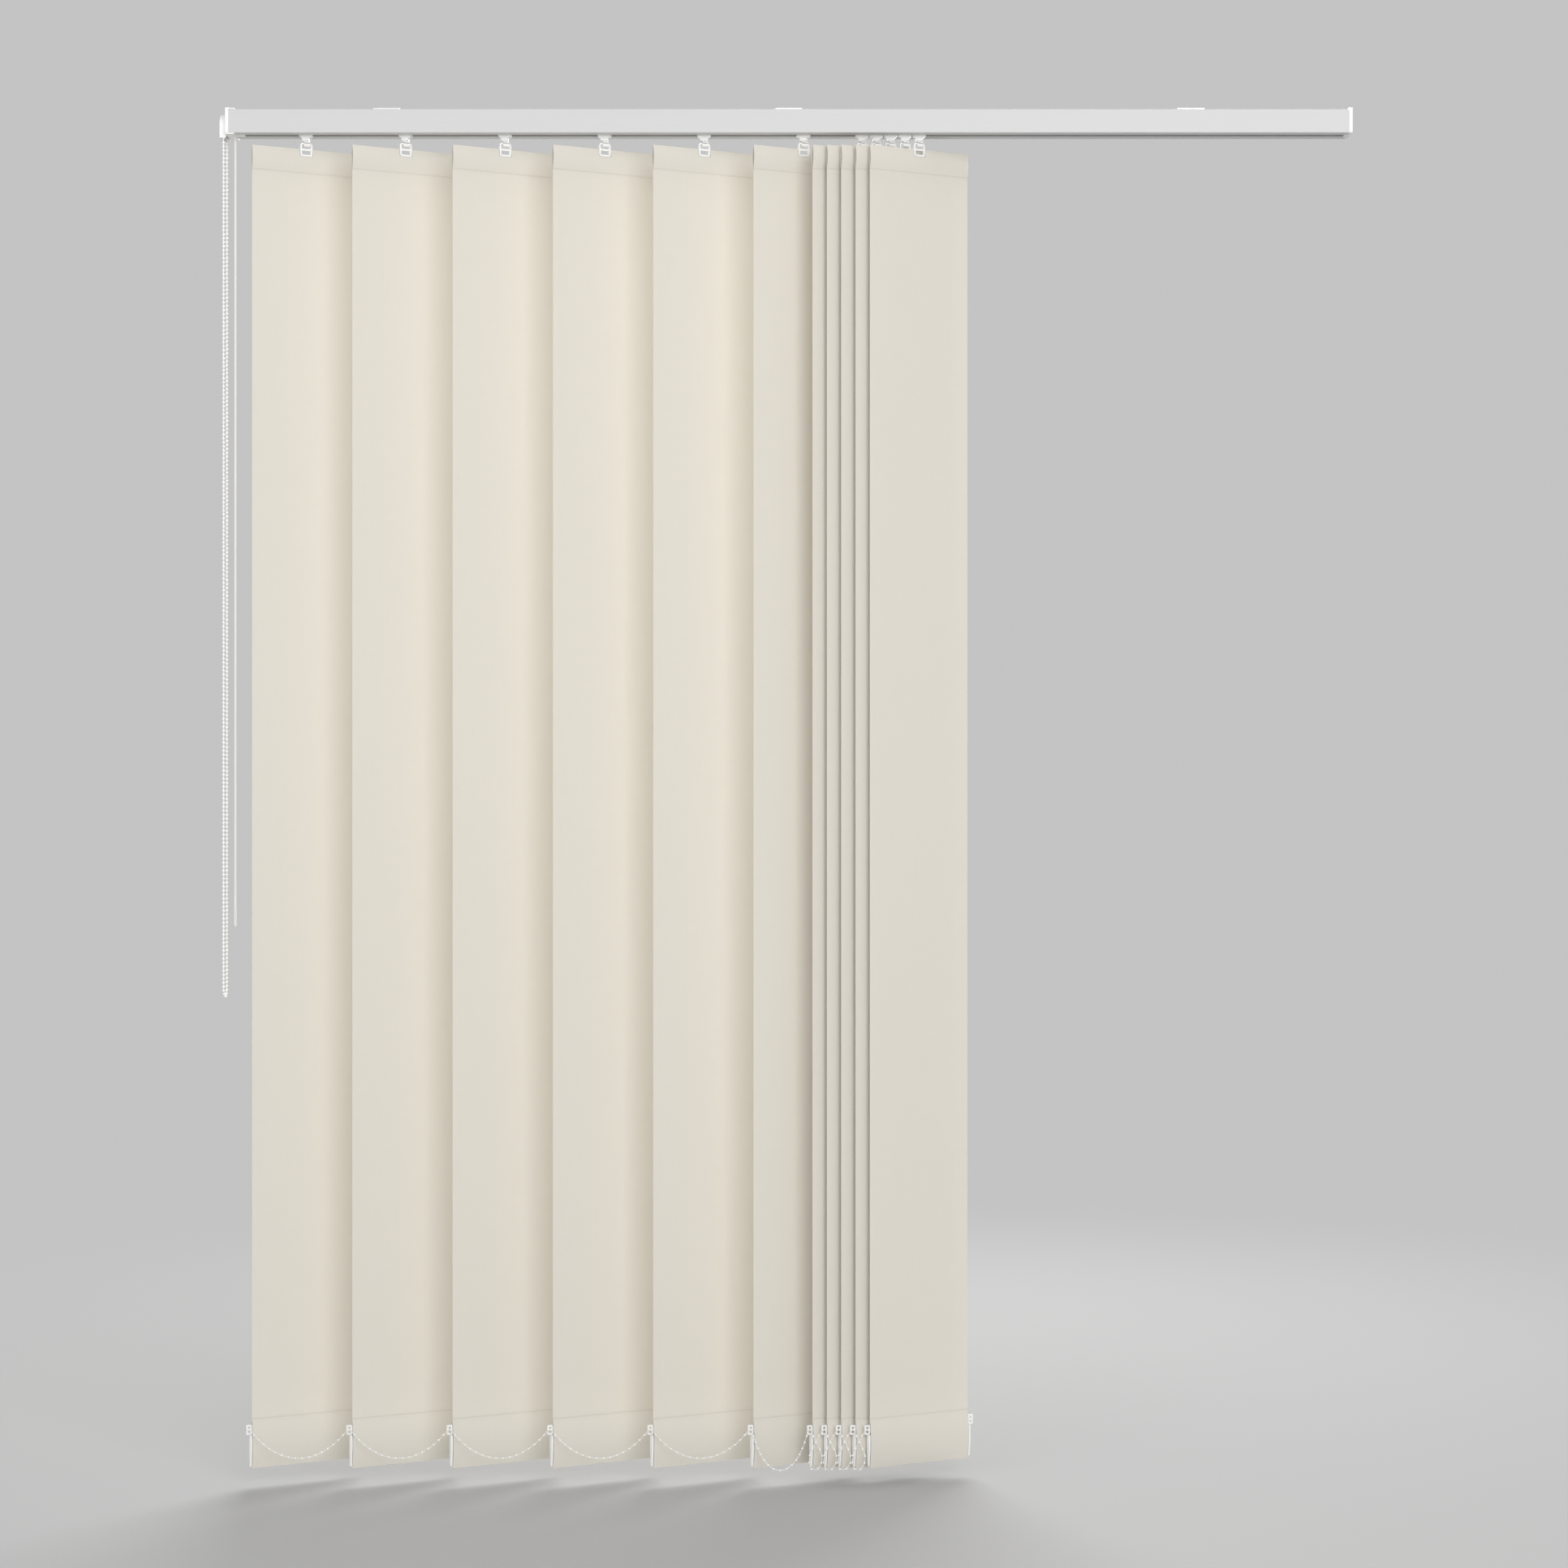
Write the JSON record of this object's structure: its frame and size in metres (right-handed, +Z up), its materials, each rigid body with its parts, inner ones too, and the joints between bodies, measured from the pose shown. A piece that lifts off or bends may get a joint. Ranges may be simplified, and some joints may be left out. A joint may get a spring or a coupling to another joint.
{
  "type": "vertical blind",
  "caption": "Vertical blind: fabric slats on wheeled carriers in a ceiling head rail, tilted by a bead chain, drawn by a cord and linked by bead chains below.",
  "frame": {"origin": "on the ceiling plane, midway between the outer bracket screws and over the middle of the rail", "axes": "+X along the rail away from the control end, -Y towards the room, +Z up"},
  "size_m": [1.271, 0.0776, 1.5304],
  "materials": {
    "rail_paint": "satin white paint",
    "white_plastic": "moulded",
    "zinc_steel": "zinc plated",
    "rod_metal": "mill finish",
    "chain_plastic": "moulded beads",
    "cord_fibre": "braided",
    "slat_fabric": "cream woven cloth"
  },
  "bodies": {
    "rail": {"headrail": "rail_paint", "control_unit": "white_plastic", "idler_end_cap": "white_plastic", "ceiling_brackets": "zinc_steel", "control_chain": "chain_plastic", "traverse_cord": "cord_fibre", "carrier_01": "white_plastic"},
    "tilt_drive": {"tilt_rod": "rod_metal"},
    "traveller_02": {"carrier_02": "white_plastic"},
    "traveller_03": {"carrier_03": "white_plastic"},
    "traveller_04": {"carrier_04": "white_plastic"},
    "traveller_05": {"carrier_05": "white_plastic"},
    "traveller_06": {"carrier_06": "white_plastic"},
    "traveller_07": {"carrier_07": "white_plastic"},
    "traveller_08": {"carrier_08": "white_plastic"},
    "traveller_09": {"carrier_09": "white_plastic"},
    "traveller_10": {"carrier_10": "white_plastic"},
    "traveller_11": {"carrier_11": "white_plastic"},
    "vane_01": {"slat_01": "slat_fabric", "slat_fittings_01": "white_plastic"},
    "vane_02": {"slat_02": "slat_fabric", "slat_fittings_02": "white_plastic"},
    "vane_03": {"slat_03": "slat_fabric", "slat_fittings_03": "white_plastic"},
    "vane_04": {"slat_04": "slat_fabric", "slat_fittings_04": "white_plastic"},
    "vane_05": {"slat_05": "slat_fabric", "slat_fittings_05": "white_plastic"},
    "vane_06": {"slat_06": "slat_fabric", "slat_fittings_06": "white_plastic"},
    "vane_07": {"slat_07": "slat_fabric", "slat_fittings_07": "white_plastic"},
    "vane_08": {"slat_08": "slat_fabric", "slat_fittings_08": "white_plastic"},
    "vane_09": {"slat_09": "slat_fabric", "slat_fittings_09": "white_plastic"},
    "vane_10": {"slat_10": "slat_fabric", "slat_fittings_10": "white_plastic"},
    "vane_11": {"slat_11": "slat_fabric", "slat_fittings_11": "white_plastic"},
    "front_links_01": {"front_chain_01": "chain_plastic"},
    "front_links_02": {"front_chain_02": "chain_plastic"},
    "front_links_03": {"front_chain_03": "chain_plastic"},
    "front_links_04": {"front_chain_04": "chain_plastic"},
    "front_links_05": {"front_chain_05": "chain_plastic"},
    "front_links_06": {"front_chain_06": "chain_plastic"},
    "front_links_07": {"front_chain_07": "chain_plastic"},
    "front_links_08": {"front_chain_08": "chain_plastic"},
    "front_links_09": {"front_chain_09": "chain_plastic"},
    "front_links_10": {"front_chain_10": "chain_plastic"},
    "rear_links_01": {"rear_chain_01": "chain_plastic"},
    "rear_links_02": {"rear_chain_02": "chain_plastic"},
    "rear_links_03": {"rear_chain_03": "chain_plastic"},
    "rear_links_04": {"rear_chain_04": "chain_plastic"},
    "rear_links_05": {"rear_chain_05": "chain_plastic"},
    "rear_links_06": {"rear_chain_06": "chain_plastic"},
    "rear_links_07": {"rear_chain_07": "chain_plastic"},
    "rear_links_08": {"rear_chain_08": "chain_plastic"},
    "rear_links_09": {"rear_chain_09": "chain_plastic"},
    "rear_links_10": {"rear_chain_10": "chain_plastic"}
  },
  "joints": [
    {"name": "gap_01", "type": "slide", "parent": "rail", "child": "traveller_02", "axis": [1, 0, 0], "range_m": [-0.096, 0], "deforming": ["front_chain_01", "rear_chain_01"]},
    {"name": "gap_02", "type": "slide", "parent": "traveller_02", "child": "traveller_03", "axis": [1, 0, 0], "range_m": [-0.096, 0], "deforming": ["front_chain_02", "rear_chain_02"]},
    {"name": "gap_03", "type": "slide", "parent": "traveller_03", "child": "traveller_04", "axis": [1, 0, 0], "range_m": [-0.096, 0], "deforming": ["front_chain_03", "rear_chain_03"]},
    {"name": "gap_04", "type": "slide", "parent": "traveller_04", "child": "traveller_05", "axis": [1, 0, 0], "range_m": [-0.096, 0], "deforming": ["front_chain_04", "rear_chain_04"]},
    {"name": "gap_05", "type": "slide", "parent": "traveller_05", "child": "traveller_06", "axis": [1, 0, 0], "range_m": [-0.096, 0], "deforming": ["front_chain_05", "rear_chain_05"]},
    {"name": "gap_06", "type": "slide", "parent": "traveller_06", "child": "traveller_07", "axis": [1, 0, 0], "range_m": [-0.05, 0.046], "deforming": ["front_chain_06", "rear_chain_06"]},
    {"name": "gap_07", "type": "slide", "parent": "traveller_07", "child": "traveller_08", "axis": [1, 0, 0], "range_m": [0, 0.096], "deforming": ["front_chain_07", "rear_chain_07"]},
    {"name": "gap_08", "type": "slide", "parent": "traveller_08", "child": "traveller_09", "axis": [1, 0, 0], "range_m": [0, 0.096], "deforming": ["front_chain_08", "rear_chain_08"]},
    {"name": "gap_09", "type": "slide", "parent": "traveller_09", "child": "traveller_10", "axis": [1, 0, 0], "range_m": [0, 0.096], "deforming": ["front_chain_09", "rear_chain_09"]},
    {"name": "gap_10", "type": "slide", "parent": "traveller_10", "child": "traveller_11", "axis": [1, 0, 0], "range_m": [0, 0.096], "deforming": ["front_chain_10", "rear_chain_10"]},
    {"name": "tilt_01", "type": "hinge", "parent": "rail", "child": "vane_01", "pos_m": [-0.5435, 0, -0.035], "axis": [0, 0, 1], "range_deg": [-4, 128]},
    {"name": "tilt_02", "type": "hinge", "parent": "traveller_02", "child": "vane_02", "pos_m": [-0.4315, 0, -0.035], "axis": [0, 0, 1], "range_deg": [-4, 128]},
    {"name": "tilt_03", "type": "hinge", "parent": "traveller_03", "child": "vane_03", "pos_m": [-0.3195, 0, -0.035], "axis": [0, 0, 1], "range_deg": [-4, 128]},
    {"name": "tilt_04", "type": "hinge", "parent": "traveller_04", "child": "vane_04", "pos_m": [-0.2075, 0, -0.035], "axis": [0, 0, 1], "range_deg": [-4, 128]},
    {"name": "tilt_05", "type": "hinge", "parent": "traveller_05", "child": "vane_05", "pos_m": [-0.0955, 0, -0.035], "axis": [0, 0, 1], "range_deg": [-4, 128]},
    {"name": "tilt_06", "type": "hinge", "parent": "traveller_06", "child": "vane_06", "pos_m": [0.0165, 0, -0.035], "axis": [0, 0, 1], "range_deg": [-4, 128]},
    {"name": "tilt_07", "type": "hinge", "parent": "traveller_07", "child": "vane_07", "pos_m": [0.0825, 0, -0.035], "axis": [0, 0, 1], "range_deg": [-4, 128]},
    {"name": "tilt_08", "type": "hinge", "parent": "traveller_08", "child": "vane_08", "pos_m": [0.0985, 0, -0.035], "axis": [0, 0, 1], "range_deg": [-4, 128]},
    {"name": "tilt_09", "type": "hinge", "parent": "traveller_09", "child": "vane_09", "pos_m": [0.1145, 0, -0.035], "axis": [0, 0, 1], "range_deg": [-4, 128]},
    {"name": "tilt_10", "type": "hinge", "parent": "traveller_10", "child": "vane_10", "pos_m": [0.1305, 0, -0.035], "axis": [0, 0, 1], "range_deg": [-4, 128]},
    {"name": "tilt_11", "type": "hinge", "parent": "traveller_11", "child": "vane_11", "pos_m": [0.1465, 0, -0.035], "axis": [0, 0, 1], "range_deg": [-4, 128]},
    {"name": "tilt_drive_spin", "type": "hinge", "parent": "rail", "child": "tilt_drive", "pos_m": [0, 0, -0.02], "axis": [1, 0, 0], "range_deg": [-24, 768]},
    {"name": "front_links_swivel", "type": "hinge", "parent": "vane_02", "child": "front_links_01", "pos_m": [-0.49075, -0.0315, -1.48], "axis": [0, 0, 1], "range_deg": [-128, 4]},
    {"name": "front_links_slide_02", "type": "slide", "parent": "front_links_01", "child": "front_links_02", "axis": [1, 0, 0], "range_m": [-0.096, 0]},
    {"name": "front_links_slide_03", "type": "slide", "parent": "front_links_02", "child": "front_links_03", "axis": [1, 0, 0], "range_m": [-0.096, 0]},
    {"name": "front_links_slide_04", "type": "slide", "parent": "front_links_03", "child": "front_links_04", "axis": [1, 0, 0], "range_m": [-0.096, 0]},
    {"name": "front_links_slide_05", "type": "slide", "parent": "front_links_04", "child": "front_links_05", "axis": [1, 0, 0], "range_m": [-0.096, 0]},
    {"name": "front_links_slide_06", "type": "slide", "parent": "front_links_05", "child": "front_links_06", "axis": [1, 0, 0], "range_m": [-0.05, 0.046]},
    {"name": "front_links_slide_07", "type": "slide", "parent": "front_links_06", "child": "front_links_07", "axis": [1, 0, 0], "range_m": [0, 0.096]},
    {"name": "front_links_slide_08", "type": "slide", "parent": "front_links_07", "child": "front_links_08", "axis": [1, 0, 0], "range_m": [0, 0.096]},
    {"name": "front_links_slide_09", "type": "slide", "parent": "front_links_08", "child": "front_links_09", "axis": [1, 0, 0], "range_m": [0, 0.096]},
    {"name": "front_links_slide_10", "type": "slide", "parent": "front_links_09", "child": "front_links_10", "axis": [1, 0, 0], "range_m": [0, 0.096]},
    {"name": "rear_links_swivel", "type": "hinge", "parent": "vane_02", "child": "rear_links_01", "pos_m": [-0.37225, 0.0315, -1.48], "axis": [0, 0, 1], "range_deg": [-128, 4]},
    {"name": "rear_links_slide_02", "type": "slide", "parent": "rear_links_01", "child": "rear_links_02", "axis": [1, 0, 0], "range_m": [-0.096, 0]},
    {"name": "rear_links_slide_03", "type": "slide", "parent": "rear_links_02", "child": "rear_links_03", "axis": [1, 0, 0], "range_m": [-0.096, 0]},
    {"name": "rear_links_slide_04", "type": "slide", "parent": "rear_links_03", "child": "rear_links_04", "axis": [1, 0, 0], "range_m": [-0.096, 0]},
    {"name": "rear_links_slide_05", "type": "slide", "parent": "rear_links_04", "child": "rear_links_05", "axis": [1, 0, 0], "range_m": [-0.096, 0]},
    {"name": "rear_links_slide_06", "type": "slide", "parent": "rear_links_05", "child": "rear_links_06", "axis": [1, 0, 0], "range_m": [-0.05, 0.046]},
    {"name": "rear_links_slide_07", "type": "slide", "parent": "rear_links_06", "child": "rear_links_07", "axis": [1, 0, 0], "range_m": [0, 0.096]},
    {"name": "rear_links_slide_08", "type": "slide", "parent": "rear_links_07", "child": "rear_links_08", "axis": [1, 0, 0], "range_m": [0, 0.096]},
    {"name": "rear_links_slide_09", "type": "slide", "parent": "rear_links_08", "child": "rear_links_09", "axis": [1, 0, 0], "range_m": [0, 0.096]},
    {"name": "rear_links_slide_10", "type": "slide", "parent": "rear_links_09", "child": "rear_links_10", "axis": [1, 0, 0], "range_m": [0, 0.096]}
  ],
  "couplings": [
    {"joint": "tilt_02", "follows": "tilt_01", "ratio": 1},
    {"joint": "tilt_03", "follows": "tilt_01", "ratio": 1},
    {"joint": "tilt_04", "follows": "tilt_01", "ratio": 1},
    {"joint": "tilt_05", "follows": "tilt_01", "ratio": 1},
    {"joint": "tilt_06", "follows": "tilt_01", "ratio": 1},
    {"joint": "tilt_07", "follows": "tilt_01", "ratio": 1},
    {"joint": "tilt_08", "follows": "tilt_01", "ratio": 1},
    {"joint": "tilt_09", "follows": "tilt_01", "ratio": 1},
    {"joint": "tilt_10", "follows": "tilt_01", "ratio": 1},
    {"joint": "tilt_11", "follows": "tilt_01", "ratio": 1},
    {"joint": "tilt_drive_spin", "follows": "tilt_01", "ratio": 6},
    {"joint": "front_links_swivel", "follows": "tilt_01", "ratio": -1},
    {"joint": "front_links_slide_02", "follows": "gap_02", "ratio": 1},
    {"joint": "front_links_slide_03", "follows": "gap_03", "ratio": 1},
    {"joint": "front_links_slide_04", "follows": "gap_04", "ratio": 1},
    {"joint": "front_links_slide_05", "follows": "gap_05", "ratio": 1},
    {"joint": "front_links_slide_06", "follows": "gap_06", "ratio": 1},
    {"joint": "front_links_slide_07", "follows": "gap_07", "ratio": 1},
    {"joint": "front_links_slide_08", "follows": "gap_08", "ratio": 1},
    {"joint": "front_links_slide_09", "follows": "gap_09", "ratio": 1},
    {"joint": "front_links_slide_10", "follows": "gap_10", "ratio": 1},
    {"joint": "rear_links_swivel", "follows": "tilt_01", "ratio": -1},
    {"joint": "rear_links_slide_02", "follows": "gap_02", "ratio": 1},
    {"joint": "rear_links_slide_03", "follows": "gap_03", "ratio": 1},
    {"joint": "rear_links_slide_04", "follows": "gap_04", "ratio": 1},
    {"joint": "rear_links_slide_05", "follows": "gap_05", "ratio": 1},
    {"joint": "rear_links_slide_06", "follows": "gap_06", "ratio": 1},
    {"joint": "rear_links_slide_07", "follows": "gap_07", "ratio": 1},
    {"joint": "rear_links_slide_08", "follows": "gap_08", "ratio": 1},
    {"joint": "rear_links_slide_09", "follows": "gap_09", "ratio": 1},
    {"joint": "rear_links_slide_10", "follows": "gap_10", "ratio": 1}
  ]
}
